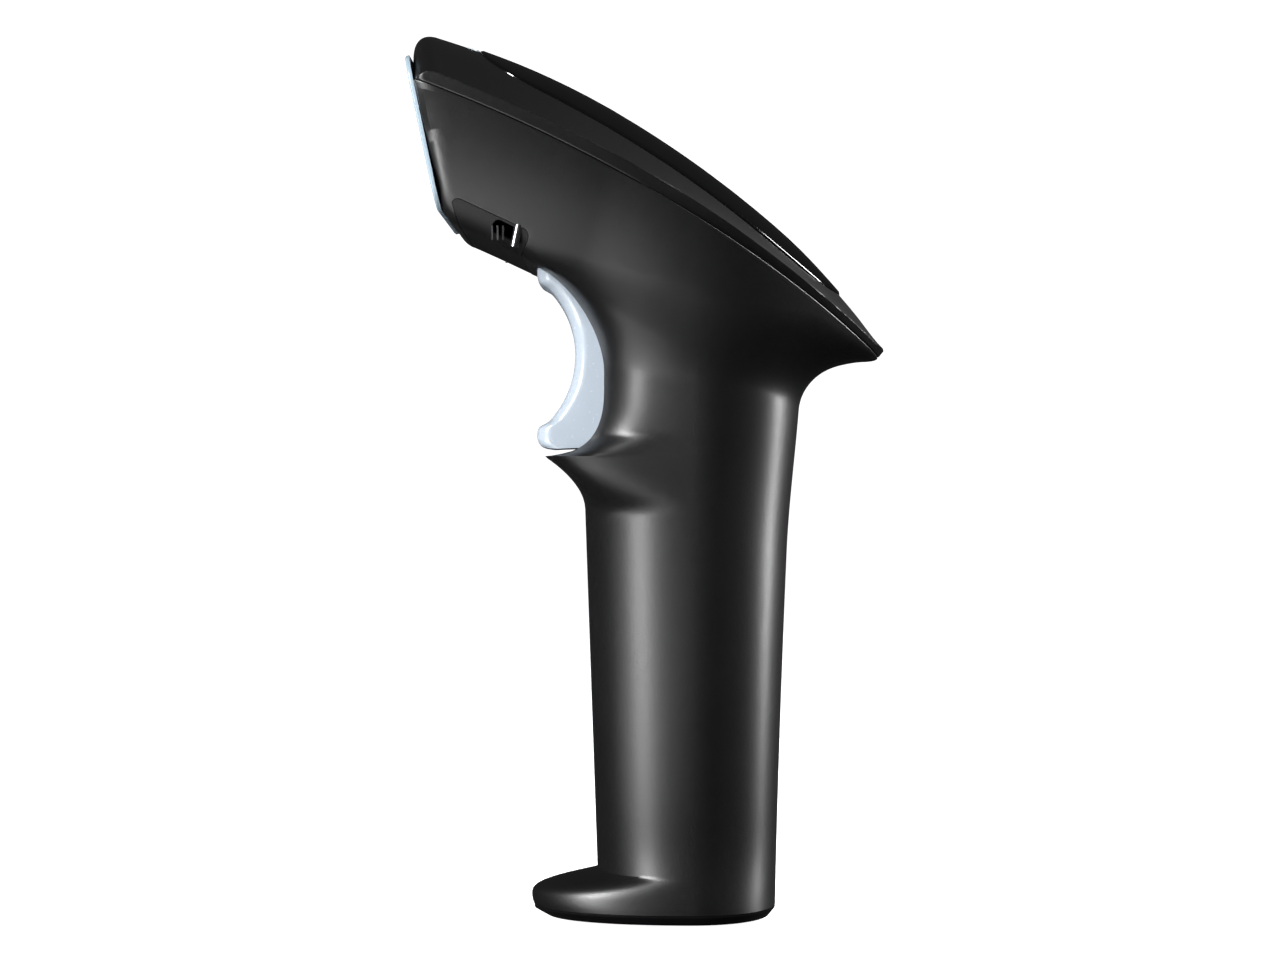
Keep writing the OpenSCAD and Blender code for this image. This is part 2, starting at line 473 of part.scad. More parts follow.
module modular_jack() color([0.06, 0.06, 0.06]) translate([jack_x, 0, 0.5]) difference() {
    translate([-4.8, -7.7, 0]) cube([11.4, 15.4, 15.5]);
    translate([-jack_h / 2, -jack_w / 2, -1]) cube([jack_h, jack_w, 1 + jack_d]);
    translate([jack_h / 2 - 0.5, -3.2, -1]) cube([2.6, 6.4, jack_d - 1]);
    translate([-jack_h / 2 - 0.8, -5.2, jack_d - 7]) cube([1, 10.4, 7]);
}
module jack_contacts() color([0.85, 0.7, 0.3]) for (k = [0:9]) translate([jack_x - jack_h / 2 - 0.7,
    (k - 4.5) * 1.02 - 0.15, jack_d - 6]) rotate([0, 3, 0]) cube([0.3, 0.3, 6.2]);
module bracket_screws() color(steel) for (m = [-1, 1], z = [97, 119]) translate([-1.52, 10 * m, z])
    rotate([0, -90, 0]) screw(6);

main_housing();
top_cover();
top_inlay();
status_light_pipe();
nose_bezel();
scan_window();
window_gasket();
strap_bracket();
strap_pins();
trigger();
trigger_arm();
trigger_pivot_pin();
trigger_bracket();
trigger_return_spring();
trigger_switch();
switch_plunger();
switch_board();
main_board();
board_chips();
buzzer();
board_screws();
engine_chassis();
engine_screws();
lens_barrel();
imaging_lens();
ccd_sensor();
sensor_board();
illumination_board();
illumination_leds();
flex_harness();
base_plate();
base_screws();
cover_screws();
modular_jack();
jack_contacts();
bracket_screws();
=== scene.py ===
"""Looks for the pistol-grip barcode scanner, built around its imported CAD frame.

The outer skins are remade here as fine meshes of the CAD part's form. Its fillet, roof, underside,
neck and foot are set a little apart from the CAD's. Shapes are worked out in millimetres and
written to meshes in metres.
"""

import json
import math

import bmesh
import bpy
import numpy as np
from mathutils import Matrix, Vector


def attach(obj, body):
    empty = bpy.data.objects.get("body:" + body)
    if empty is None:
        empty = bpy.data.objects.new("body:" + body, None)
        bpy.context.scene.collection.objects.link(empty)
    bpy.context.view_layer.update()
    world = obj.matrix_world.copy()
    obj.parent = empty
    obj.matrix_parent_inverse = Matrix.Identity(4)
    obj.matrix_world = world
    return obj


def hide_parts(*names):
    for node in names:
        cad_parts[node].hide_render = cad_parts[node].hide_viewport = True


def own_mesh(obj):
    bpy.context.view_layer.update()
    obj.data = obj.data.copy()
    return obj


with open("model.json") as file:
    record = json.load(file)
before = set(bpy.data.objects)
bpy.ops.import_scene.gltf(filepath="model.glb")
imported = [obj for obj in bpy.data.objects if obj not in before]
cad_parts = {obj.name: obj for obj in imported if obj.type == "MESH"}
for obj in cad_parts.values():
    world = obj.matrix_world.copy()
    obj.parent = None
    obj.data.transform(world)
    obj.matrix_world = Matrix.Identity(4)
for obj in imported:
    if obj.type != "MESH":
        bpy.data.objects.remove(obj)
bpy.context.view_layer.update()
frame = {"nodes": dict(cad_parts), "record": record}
MM = 0.001

# ---- driving dimensions, millimetres; NECK_R, FOOT, DEPTH, ROOF and NOSE_ROUND have values of
# their own, and the others are the CAD part's ----
PART_R, PART_X, PART_Z = 308.45, -157.26, -132.48   # arc between cover and housing
PHI0 = math.radians(20.242)                         # arc angle at the nose
HEAD_W, HEAD_L, HEAD_D = 33.0, 101.2, 22.0          # half width, length, depth of the head
LEAN = 4.5                                          # inward lean of the sides at full depth
PLAN_S, PLAN_P = 4.0, 1.95                          # plan outline: start of taper, exponent
NOSE_X, NOSE_Z, TILT = -51.0, 160.2, math.radians(11.83)
GRIP_X, WALL, NECK_R = 0.8, 2.0, 12.0
FOOT, LIP = 12.8, 88.4                              # reach of the foot, height of the finger lip
TRIG_W, TRIG_GAP = 12.1, 0.3
PIVOT = (-16.3, 121.5)
EDGE = 0.3                                          # rounding where cover and housing meet
SKIN_IN = 0.004                                     # how far the outer skins lie inside the form
SIDE_ROUND, NOSE_ROUND = 2.2, 4.8                   # rounding at the nose, at the sides and on top
REAR_POWER = 2.05                                   # squareness of the grip's rear half
COVER_WALL = 1.8
HOUSING_COLS, COVER_COLS = 232, 181                 # points along one section
STRAP_AT, STRAP_TILT = (-33.4, 129.3), math.radians(27)
STRAP_R, STRAP_HALF = 1.35, 1.55                    # end radius, half distance between end centres
BASE_SCREWS = (-21.5, -6.5)                         # x of the screws in the base
SHARP = math.radians(32)                            # edges steeper than this stay sharp
DEPTH = [(35, 21.6), (60, 20.4), (75, 16.6), (88, 9.7), (94, 6.2),
         (97, 4.3), (99, 2.7), (101.2, 1)]
ROOF = [(-8, 11.4), (6, 12.1), (15, 12.4), (31, 12.1), (41, 11.4), (52, 10.4),
        (64, 9.05), (77, 7.2), (86, 5.3), (93, 3.7), (98, 2.4), (103, 1.6)]
# section surfaces from grip to head: row, level z, share of arc, drop, corner x, leg angle,
# centre x
FAN = np.array([(0, 2, 0, 24, -16, 180, 0.8), (40, 80, 0, 24, -16, 180, 0.8),
                (48, 88, 0.14, 24, -16, 180, 0.8), (54, 93, 0.38, 23, -17, 182, 1),
                (60, 99, 0.75, 20.5, -18, 190, 1), (64, 104, 1, 18.2, -21, 215, 0),
                (68, 108, 1, 16.2, -25, 246, 0), (74, 110, 1, 13.2, -31, 262, 0),
                (82, 112, 1, 9.6, -40, 262, -5), (87, 112, 1, 7.2, -44.5, 240, -5),
                (91, 112, 1, 5.4, -47, 205, -5), (96, 112, 1, 2.6, -49.5, 175, -5),
                (100, 112, 1, 0, -53, 160, -5)], float)


# ---- form ----
def curve(table, x):
    """Smooth curve through stations (x, value)."""
    t = np.array(table, float)
    xs, ys = t[:, 0], t[:, 1]
    w, d = np.diff(xs), np.diff(ys) / np.diff(xs)
    m = np.concatenate([[d[0]], (d[:-1] * w[1:] + d[1:] * w[:-1]) / (w[:-1] + w[1:]), [d[-1]]])
    x = np.clip(x, xs[0], xs[-1])
    i = np.clip(np.searchsorted(xs, x, side="right") - 1, 0, len(xs) - 2)
    u = (x - xs[i]) / w[i]
    u2, u3 = u * u, u * u * u
    return ((2 * u3 - 3 * u2 + 1) * ys[i] + (u3 - 2 * u2 + u) * w[i] * m[i]
            + (3 * u2 - 2 * u3) * ys[i + 1] + (u3 - u2) * w[i] * m[i + 1])


def step(t):
    c = np.clip(t, 0, 1)
    return c * c * (3 - 2 * c)


def round_max(a, b, r):
    return np.minimum(np.maximum(a, b), -r) + np.hypot(np.maximum(a + r, 0), np.maximum(b + r, 0))


def round_min(a, b, r):
    return np.maximum(np.minimum(a, b), r) - np.hypot(np.maximum(r - a, 0), np.maximum(r - b, 0))


def part_at(x):
    return PART_Z + np.sqrt(PART_R ** 2 - (x - PART_X) ** 2)


def to_sh(x, z):
    return (PART_R * (np.arctan2(x - PART_X, z - PART_Z) - PHI0),
            np.hypot(x - PART_X, z - PART_Z) - PART_R)


def from_sh(s, h, y=0.0):
    a = PHI0 + np.asarray(s, float) / PART_R
    x, z = PART_X + (PART_R + h) * np.sin(a), PART_Z + (PART_R + h) * np.cos(a)
    return np.stack(np.broadcast_arrays(x, y, z), -1)


def plan_u(s):
    return np.maximum((s - PLAN_S) / (HEAD_L - PLAN_S), 0)


def plan_side(s, width):
    """Distance-like value of the plan outline at arc length s and half width."""
    u, v = plan_u(s), width / HEAD_W
    g = (u ** PLAN_P + v ** PLAN_P) ** (1 / PLAN_P) + 1e-9
    slope = np.hypot((u / g) ** (PLAN_P - 1) / (HEAD_L - PLAN_S), (v / g) ** (PLAN_P - 1) / HEAD_W)
    return (g - 1) / (slope + 1e-9)


def nose_f(x, z):
    return -((x - NOSE_X) * math.cos(TILT) + (z - NOSE_Z) * math.sin(TILT))


def head_f(x, y, z):
    s, h = to_sh(x, z)
    d = curve(DEPTH, s)
    lean = LEAN * np.clip(-h / HEAD_D, 0, 1) ** 1.7
    r = np.minimum(4 + 5 * step((s - 35) / 30), 0.85 * d)
    keel = round_max(plan_side(s, np.abs(y) + lean), -h - d, r)
    return round_max(keel, nose_f(x, z), SIDE_ROUND)


def foot(z):
    return (1 - np.clip((z - 3.8) / 5.1, 0, 1) ** 3) ** 1.6


def blunt(z):
    return np.where(z < LIP, 2.1 + 2.9 * step((z - 77) / 9), 2.7 + 2.3 * (1 - step((z - LIP) / 4)))


def side_b(z):
    return (15.8 + 0.018 * z + 8e-5 * z * z + 1.6 * (1 - step(z / 20)) ** 2
            + 2.5 * step((z - 72) / 44) ** 2)


def front_a(z):
    n = blunt(z)
    column = (GRIP_X + 16.8 + 0.0345 * z + FOOT * foot(z) - 0.12 * np.maximum(3.8 - z, 0) ** 2
              + 7.2 * np.clip((z - 78) / 10, 0, 1) ** 2)
    slot = 15.7 + 10.4 * (1 - np.sqrt(np.clip((z - LIP) / 12, 0, 1))) ** 2
    return np.where(z < LIP, column, (GRIP_X + slot) / (1 - (12.4 / side_b(z)) ** n) ** (1 / n))


def rear_a(z):
    return 17.1 + 0.0225 * z + 1.5e-4 * z * z + 1.1 * step((z - 70) / 32) - GRIP_X


def grip_f(x, y, z):
    front = x < GRIP_X
    n = np.where(front, blunt(z), REAR_POWER)
    a, b = np.where(front, front_a(z), rear_a(z)), side_b(z)
    u, v = np.abs(x - GRIP_X) / a, np.abs(y) / b
    g = (u ** n + v ** n) ** (1 / n) + 1e-6
    return (g - 1) / (np.hypot((u / g) ** (n - 1) / a, (v / g) ** (n - 1) / b) + 1e-6)


def form(x, y, z):
    return round_min(head_f(x, y, z), grip_f(x, y, z), NECK_R)


def bisect(inside, shape, reach, turns=30):
    """Distance along each ray at which inside() stops being true."""
    lo, hi = np.zeros(shape), np.full(shape, float(reach))
    for _ in range(turns):
        mid = (lo + hi) / 2
        ok = inside(mid)
        lo, hi = np.where(ok, mid, lo), np.where(ok, hi, mid)
    return lo


def fan_point(f, r, t):
    z0, share, drop, corner, leg, centre = f
    a = centre - corner + r * np.cos(t)
    soft = (a + np.sqrt(a * a + 25)) / 2
    over = (-a + np.sqrt(a * a + 25)) / 2
    x = corner + soft
    z = (1 - share) * z0 + share * (part_at(x) - drop)
    return x + np.cos(leg) * over, r * np.sin(t), z + np.sin(leg) * over


def edge_inset(distance):
    """How far a surface draws in within EDGE of a rim, as a quarter round."""
    q = np.clip(EDGE - distance, 0, EDGE)
    return EDGE - np.sqrt(EDGE ** 2 - q * q)


def housing_rings(rows, cols, depth):
    v = rows[:, None]
    t = np.linspace(0, 2 * math.pi, cols, endpoint=False)[None, :]
    f = [curve(FAN[:, [0, k]], v) for k in range(1, 7)]
    f[4] = np.radians(f[4])
    shape = np.broadcast(v, t).shape
    inset = depth or SKIN_IN + edge_inset(f[2]) * (f[1] > 0.99)
    r = bisect(lambda m: form(*fan_point(f, m, t)) < -inset, shape, 84)
    return np.stack(np.broadcast_arrays(*fan_point(f, r, t)), -1)


def band(s):
    return 2.4 - step((s - 50) / 50)


def roof(s, y):
    taper = np.maximum(1 - plan_u(s) ** PLAN_P, 0.04)
    return band(s) + (curve(ROOF, s) - band(s)) * (1 - (np.abs(y) / HEAD_W) ** PLAN_P / taper)


def cover_f(s, y, h):
    p = from_sh(s, h, y)
    nose = nose_f(p[..., 0], p[..., 2])
    top = (h - roof(s, y)) / 1.15
    return np.maximum(round_max(plan_side(s, np.abs(y)), nose, SIDE_ROUND),
                      round_max(top, nose, NOSE_ROUND))


def cover_rings(cols, depth):
    k1, k2, k3 = np.linspace(0, 8, 49), np.linspace(0, 20, 121)[1:], np.linspace(0, 6, 37)[1:]
    s0 = np.concatenate([2 + k1, 10 + 4 * k2, 90 + k3])[:, None]
    a = np.radians(np.concatenate([11.25 * k1, 90 + 0 * k2, 90 + 15 * k3]))[:, None]
    even = np.linspace(0, 1, cols)
    t = math.pi * (even - 0.13 * np.sin(2 * math.pi * even))[None, :]   # closer at the rim

    def at(r):
        return s0 - r * np.sin(t) * np.cos(a), r * np.cos(t), r * np.sin(t) * np.sin(a)

    def inside(r):
        s, y, h = at(r)
        return cover_f(s, y, h) < -(depth or SKIN_IN + edge_inset(h))

    s, y, h = at(bisect(inside, np.broadcast(s0, t).shape, 48))
    return from_sh(s, h, y)


# ---- mesh tools ----
def collect(name, verts, faces):
    """A closed mesh object, normals outward, from points in millimetres."""
    me = bpy.data.meshes.new(name)
    me.from_pydata((np.asarray(verts, float).reshape(-1, 3) * MM).tolist(), [], faces)
    bm = bmesh.new()
    bm.from_mesh(me)
    bmesh.ops.remove_doubles(bm, verts=bm.verts, dist=1e-7)
    bmesh.ops.dissolve_degenerate(bm, edges=bm.edges, dist=1e-8)
    bmesh.ops.recalc_face_normals(bm, faces=bm.faces)
    bm.to_mesh(me)
    bm.free()
    ob = bpy.data.objects.new(name, me)
    bpy.context.scene.collection.objects.link(ob)
    return ob


def grid_faces(n, m, start=0, closed=False):
    i, j = np.meshgrid(np.arange(n - 1), np.arange(m if closed else m - 1), indexing="ij")
    a, b = start + i * m + j, start + i * m + (j + 1) % m
    return np.stack([a, b, b + m, a + m], -1).reshape(-1, 4).tolist()


def tube_shell(name, outer, inner):
    """Closed skin between two stacks of rings."""
    m, n, k = outer.shape[1], outer.shape[0], inner.shape[0]
    o = n * m
    faces = grid_faces(n, m, 0, True) + grid_faces(k, m, o, True)
    for j in range(m):
        q = (j + 1) % m
        faces.append([j, q, o + q, o + j])
        faces.append([o - m + j, o - m + q, o + (k - 1) * m + q, o + (k - 1) * m + j])
    return collect(name, np.concatenate([outer.reshape(-1, 3), inner.reshape(-1, 3)]), faces)


def plate_shell(name, outer, inner):
    """Closed plate between two equal grids."""
    n, m = outer.shape[:2]
    o = n * m
    faces = grid_faces(n, m) + grid_faces(n, m, o)
    rim = (list(range(m)) + [i * m + m - 1 for i in range(1, n)]
           + [(n - 1) * m + j for j in range(m - 2, -1, -1)] + [i * m for i in range(n - 2, 0, -1)])
    for a, b in zip(rim, rim[1:] + rim[:1]):
        faces.append([a, b, o + b, o + a])
    return collect(name, np.concatenate([outer.reshape(-1, 3), inner.reshape(-1, 3)]), faces)


def rings_solid(name, rings, loop=False):
    """Closed solid from a stack of closed rings; loop joins the last ring to the first."""
    n, m = len(rings), len(rings[0])
    faces = grid_faces(n, m, 0, True)
    if loop:
        faces += [[(n - 1) * m + j, (n - 1) * m + (j + 1) % m, (j + 1) % m, j] for j in range(m)]
    else:
        faces += [list(range(m)), list(range((n - 1) * m, n * m))]
    return collect(name, np.concatenate([np.asarray(r, float) for r in rings]), faces)


def prism_y(name, outline, lo, hi):
    """Solid of an (x, z) outline between two y."""
    return rings_solid(name, [[(x, y, z) for x, z in outline] for y in (lo, hi)])


def rod(name, foot_at, axis, radius, length, segments=48, bore=0.0):
    """Rod, or sleeve if bore is given, from a foot point along an axis."""
    turn = Vector(axis).to_track_quat("Z", "Y").to_matrix()

    def ring(r, z):
        return [Vector(foot_at) + turn @ Vector((r * math.cos(a), r * math.sin(a), z))
                for a in np.linspace(0, 2 * math.pi, segments, endpoint=False)]
    if bore:
        return rings_solid(name, [ring(radius, 0), ring(radius, length), ring(bore, length),
                                  ring(bore, 0)], loop=True)
    return rings_solid(name, [ring(radius, 0), ring(radius, length)])


def brick(name, lo, hi):
    outline = [(lo[0], lo[2]), (hi[0], lo[2]), (hi[0], hi[2]), (lo[0], hi[2])]
    return prism_y(name, outline, lo[1], hi[1])


def combine(target, tools, operation="DIFFERENCE"):
    for tool in tools:
        mod = target.modifiers.new("combine", "BOOLEAN")
        mod.operation, mod.solver, mod.object = operation, "EXACT", tool
    bpy.context.view_layer.update()
    made = bpy.data.meshes.new_from_object(
        target.evaluated_get(bpy.context.evaluated_depsgraph_get()))
    target.modifiers.clear()
    target.data = made
    for tool in tools:
        bpy.data.objects.remove(tool)
    return target


def absorb(target, parts):
    """Join parts into target as they are."""
    bm = bmesh.new()
    bm.from_mesh(target.data)
    for part in parts:
        bm.from_mesh(part.data)
        bpy.data.objects.remove(part)
    bm.to_mesh(target.data)
    bm.free()
    return target


def finish_piece(ob, slot_name, body, *nodes):
    me = ob.data
    me.shade_smooth()
    me.set_sharp_from_angle(angle=SHARP)
    me.materials.clear()
    me.materials.append(LOOKS[slot_name])
    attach(ob, body)
    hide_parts(*nodes)


# ---- materials: each is a small node tree over object coordinates ----
NOISE_SPAN = (0.3, 0.7)                             # the part of the noise range that is used
BROAD = (70, 3.0)                                   # scale and detail of the colour drift


def look(name, color, rough, grain=(2600, 0.25, 0.03), mottle=0.12, rough_var=0.04, stretch=None,
         **fixed):
    """Procedural finish. grain is (per metre, strength, depth mm); mottle is the colour drift."""
    mat = bpy.data.materials.new(name)
    mat.use_nodes = True
    nt = mat.node_tree
    bsdf = nt.nodes["Principled BSDF"]
    sockets = {i.name.lower().replace(" ", "_"): i for i in bsdf.inputs}
    for key, value in fixed.items():
        sockets[key].default_value = value
    coord = nt.nodes.new("ShaderNodeTexCoord")
    source = coord.outputs["Object"]
    if stretch:
        mapping = nt.nodes.new("ShaderNodeMapping")
        mapping.inputs["Scale"].default_value = stretch
        nt.links.new(source, mapping.inputs["Vector"])
        source = mapping.outputs["Vector"]

    def noise(scale, detail):
        node = nt.nodes.new("ShaderNodeTexNoise")
        node.inputs["Scale"].default_value = scale
        node.inputs["Detail"].default_value = detail
        nt.links.new(source, node.inputs["Vector"])
        return node.outputs["Fac"]
    fine, broad = noise(grain[0], 2.0), noise(*BROAD)
    ramp = nt.nodes.new("ShaderNodeValToRGB")
    ramp.color_ramp.elements[0].position, ramp.color_ramp.elements[1].position = NOISE_SPAN
    for element, k in zip(ramp.color_ramp.elements, (1 - mottle, 1 + mottle)):
        element.color = (*[min(c * k, 1) for c in color[:3]], 1)
    nt.links.new(broad, ramp.inputs["Fac"])
    nt.links.new(ramp.outputs["Color"], bsdf.inputs["Base Color"])
    spread = nt.nodes.new("ShaderNodeMapRange")
    spread.inputs["From Min"].default_value, spread.inputs["From Max"].default_value = NOISE_SPAN
    spread.inputs["To Min"].default_value = rough - rough_var
    spread.inputs["To Max"].default_value = rough + rough_var
    nt.links.new(fine, spread.inputs["Value"])
    nt.links.new(spread.outputs["Result"], bsdf.inputs["Roughness"])
    bump = nt.nodes.new("ShaderNodeBump")
    bump.inputs["Strength"].default_value = grain[1]
    bump.inputs["Distance"].default_value = grain[2] * MM
    nt.links.new(fine, bump.inputs["Height"])
    nt.links.new(bump.outputs["Normal"], bsdf.inputs["Normal"])
    return mat


# grains: per metre, strength, depth in mm
SMOOTH, MOULDED, PAINT = (900, 0.05, 0.01), (3800, 0.5, 0.03), (1500, 0.08, 0.01)
BLACK = (0.004, 0.004, 0.0043)
LOOKS = {
    "housing_black": look("housing_black", BLACK, 0.36, MOULDED),
    "inlay_gloss": look("inlay_gloss", (0.003, 0.003, 0.0032), 0.09, SMOOTH, rough_var=0.02),
    "light_pipe": look("light_pipe", (0.62, 0.66, 0.70), 0.28, SMOOTH),
    "bezel_blue_grey": look("bezel_blue_grey", (0.24, 0.30, 0.35), 0.26, PAINT, 0.03),
    "window_acrylic": look("window_acrylic", (0.10, 0.008, 0.012), 0.06, SMOOTH, rough_var=0.02,
                           transmission_weight=0.7, ior=1.49),
    "gasket_rubber": look("gasket_rubber", (0.02, 0.02, 0.02), 0.7, (2200, 0.4, 0.03)),
    "bracket_black": look("bracket_black", BLACK, 0.46, MOULDED, specular_ior_level=0.25),
    "steel": look("steel", (0.62, 0.62, 0.64), 0.22, (1800, 0.15, 0.01), 0.05,
                  stretch=(1, 1, 0.06), metallic=1.0),
    "trigger_blue_grey": look("trigger_blue_grey", (0.285, 0.325, 0.37), 0.24, PAINT, 0.03),
    "inner_black": look("inner_black", (0.02, 0.02, 0.02), 0.5),
    "switch_cream": look("switch_cream", (0.62, 0.58, 0.46), 0.45),
    "board_green": look("board_green", (0.012, 0.10, 0.04), 0.3, (700, 0.2, 0.03), 0.35),
    "chip_black": look("chip_black", (0.015, 0.015, 0.017), 0.5),
    "lens_glass": look("lens_glass", (0.8, 0.86, 0.9), 0.04, SMOOTH, rough_var=0.01,
                       transmission_weight=0.9, ior=1.52),
    "sensor_dark": look("sensor_dark", (0.05, 0.04, 0.08), 0.12, SMOOTH, rough_var=0.02),
    "led_red": look("led_red", (0.55, 0.04, 0.03), 0.12, SMOOTH, rough_var=0.02),
    "ribbon": look("ribbon", (0.66, 0.60, 0.45), 0.4, (500, 0.2, 0.03), stretch=(1, 6, 0.1)),
    "base_black": look("base_black", (0.004, 0.004, 0.0045), 0.16, SMOOTH, rough_var=0.03),
    "contact_gold": look("contact_gold", (0.80, 0.58, 0.22), 0.2, SMOOTH, metallic=1.0),
}
for part in frame["record"]["subparts"]:
    skin = frame["nodes"][part["node"]].data
    skin.materials.clear()
    skin.materials.append(LOOKS[part["material_slot"]])

# ---- frames ----
COS, SIN = math.cos(TILT), math.sin(TILT)


def nose_at(x, y, z):
    """A point given in the tilted nose plane's own axes."""
    return (NOSE_X + COS * x - SIN * z, y, NOSE_Z + SIN * x + COS * z)


def rounded(w, lo, hi, r, n=10):
    return [(cx + r * math.cos(a), cy + r * math.sin(a))
            for cx, cy, a0 in ((w - r, hi - r, 0), (r - w, hi - r, 90), (r - w, lo + r, 180),
                               (w - r, lo + r, 270))
            for a in np.radians(a0 + np.linspace(0, 90, n + 1))]


def nose_ring(x, outline):
    return [nose_at(x, y, z) for y, z in outline]


# ---- strap panel, on the skin behind the nose ----
def wrap_grid(depth):
    s = np.linspace(13.5, 34, 50)[:, None]
    t = np.radians(np.linspace(6, 174, 140))[None, :]

    def inside(m):
        p = from_sh(s, -9 - m * np.sin(t), m * np.cos(t))
        return form(p[..., 0], p[..., 1], p[..., 2]) < -depth
    m = bisect(inside, np.broadcast(s, t).shape, 60)
    return from_sh(s, -9 - m * np.sin(t), m * np.cos(t))


def panel_outline(gap):
    """Side view of the panel with its two rounded upper corners, as (x, z)."""
    points = []
    for cs, ch, r, a0 in ((31.8 + gap, -17.2 + gap, 1.6 + gap, 0),
                          (15.6 - gap, -17.2 + gap, 1.1 + gap, 90)):
        sign = 1 if a0 == 0 else -1
        for a in np.radians(a0 + np.linspace(0, 90, 9)):
            points.append((cs - sign * r + r * math.cos(a), ch - r + r * math.sin(a)))
    points += [(19.2 - gap, -22.6), (19.4 - gap, -30), (31.8 + gap, -30)]
    return [(p[0], p[2]) for p in (from_sh(s, h) for s, h in points)]


def panel_solid(name, gap, out, deep):
    slab = plate_shell(name, wrap_grid(out), wrap_grid(deep))
    return combine(slab, [prism_y("outline", panel_outline(gap), -40, 40)], "INTERSECT")


def strap_slots(gap):
    """Slanted obround hole through each side, for the wrist strap."""
    tools = []
    c, s = math.cos(STRAP_TILT), math.sin(STRAP_TILT)
    for side in (-1, 1):
        ring = []
        for end, a0 in ((1, -90), (-1, 90)):
            for a in np.radians(a0 + np.linspace(0, 180, 15)):
                u = end * STRAP_HALF + (STRAP_R + gap) * math.cos(a)
                w = (STRAP_R + gap) * math.sin(a)
                ring.append((STRAP_AT[0] + u * c + w * s, STRAP_AT[1] - u * s + w * c))
        tools.append(prism_y("strap_slot", ring, side * 24, side * 36))
    return tools


# ---- housing ----
rows = np.concatenate([np.linspace(0, 6.24, 30)[:-1], np.linspace(6.24, 40, 60)[:-1],
                       np.linspace(40, 64, 72)[:-1], np.linspace(64, 99.2, 90),
                       100 - np.array([0.7, 0.55, 0.43, 0.33, 0.24, 0.16, 0.09, 0.04, 0])])
housing = tube_shell("housing_shell", housing_rings(rows, HOUSING_COLS, 0),
                     housing_rings(np.linspace(0, 100, 60), HOUSING_COLS, WALL))
slot_side = [(-45, LIP - 0.2), (-9, LIP - 0.2), (-9, 120), (-15, 127.5), (-28.9, 127.5),
             (-28.9, 116), (-45, 116)]
nose_hole = [nose_ring(x, rounded(26, -24.5, -1.5, 4)) for x in (-4, 4)]
combine(housing, [prism_y("slot", slot_side, -TRIG_W - TRIG_GAP, TRIG_W + TRIG_GAP),
                  rings_solid("nose_hole", nose_hole),
                  panel_solid("recess", 0.12, -1, 1.22)] + strap_slots(0))
posts = [rod("post", (x, 0, 4.05), (0, 0, 1), 2.6, 3.15, bore=1.05) for x in BASE_SCREWS]
posts.append(brick("web", (-16, -0.8, 4.05), (-6.5, 0.8, 11.05)))
for side in (-1, 1):
    posts += [rod("post", (0.05, 10 * side, z), (1, 0, 0), 2.4, 15.45, bore=1.05)
              for z in (97, 119)]
    posts.append(brick("web", (6, 10 * side - 0.8, 95), (15.5, 10 * side + 0.8, 119)))
absorb(housing, posts)
finish_piece(housing, "housing_black", "body", "main_housing")

# ---- top cover with the inlay's pocket, inlay ----
INLAY_MID, INLAY_HALF = 47.5, 40.4


def inlay_outline(grow, n=320):
    """Closed outline in arc length and width, moved outward by grow."""
    a = np.linspace(0, 2 * math.pi, n, endpoint=False)
    a = a - 0.21 * np.sin(2 * a)
    c = np.cos(a)
    s = INLAY_MID - INLAY_HALF * c
    y = (22.4 * (1 - 0.28 * (np.maximum(s - 7, 0) / 80) ** 3)
         * np.maximum(1 - np.abs(c) ** 7, 0) ** (1 / 2.6) * np.sign(np.sin(a)))
    ds, dy = np.roll(s, -1) - np.roll(s, 1), np.roll(y, -1) - np.roll(y, 1)
    length = np.hypot(ds, dy) + 1e-9
    side = np.sign(np.sum(s * np.roll(y, -1) - np.roll(s, -1) * y))
    return s + side * grow * dy / length, y - side * grow * ds / length


def inlay_ring(grow, lift, scale=1.0):
    s, y = inlay_outline(grow)
    s, y = INLAY_MID + (s - INLAY_MID) * scale, y * scale
    return from_sh(s, roof(s, y) + lift, y)


SHRINK = [0.97, 0.93, 0.88, 0.82, 0.75, 0.67, 0.58, 0.48, 0.37, 0.25, 0.12]


def inlay_solid(name, profile, low, high):
    """Solid from its centre below, out round the edge profile, to its centre above."""
    g0, g1 = profile[0][0], profile[-1][0]
    rings = ([inlay_ring(g0, low, k) for k in SHRINK[::-1]] + [inlay_ring(g, h) for g, h in profile]
             + [inlay_ring(g1, high, k) for k in SHRINK])
    return rings_solid(name, rings)


cover = plate_shell("cover_shell", cover_rings(COVER_COLS, 0), cover_rings(COVER_COLS, COVER_WALL))
pipe_s, pipe_y = np.linspace(5.0, 7.0, 6)[:, None], np.linspace(-8.1, 8.1, 30)[None, :]
pipe_pocket = plate_shell("pipe_pocket", *(
    from_sh(pipe_s + 0 * pipe_y, roof(pipe_s, pipe_y) + lift, pipe_y) for lift in (3, -1.1)))
combine(cover, [inlay_solid("pocket", [(0.12, -1.1), (0.12, 3)], -1.1, 3), pipe_pocket,
                rings_solid("nose_hole", nose_hole)])
finish_piece(cover, "housing_black", "body", "top_cover")
inlay = inlay_solid("roof_inlay", [(0, -0.95), (0, 0.02), (0, 0.12), (-0.1, 0.24), (-0.25, 0.36),
                                   (-0.42, 0.43), (-0.62, 0.45)], -0.95, 0.45)
finish_piece(inlay, "inlay_gloss", "body", "top_inlay")

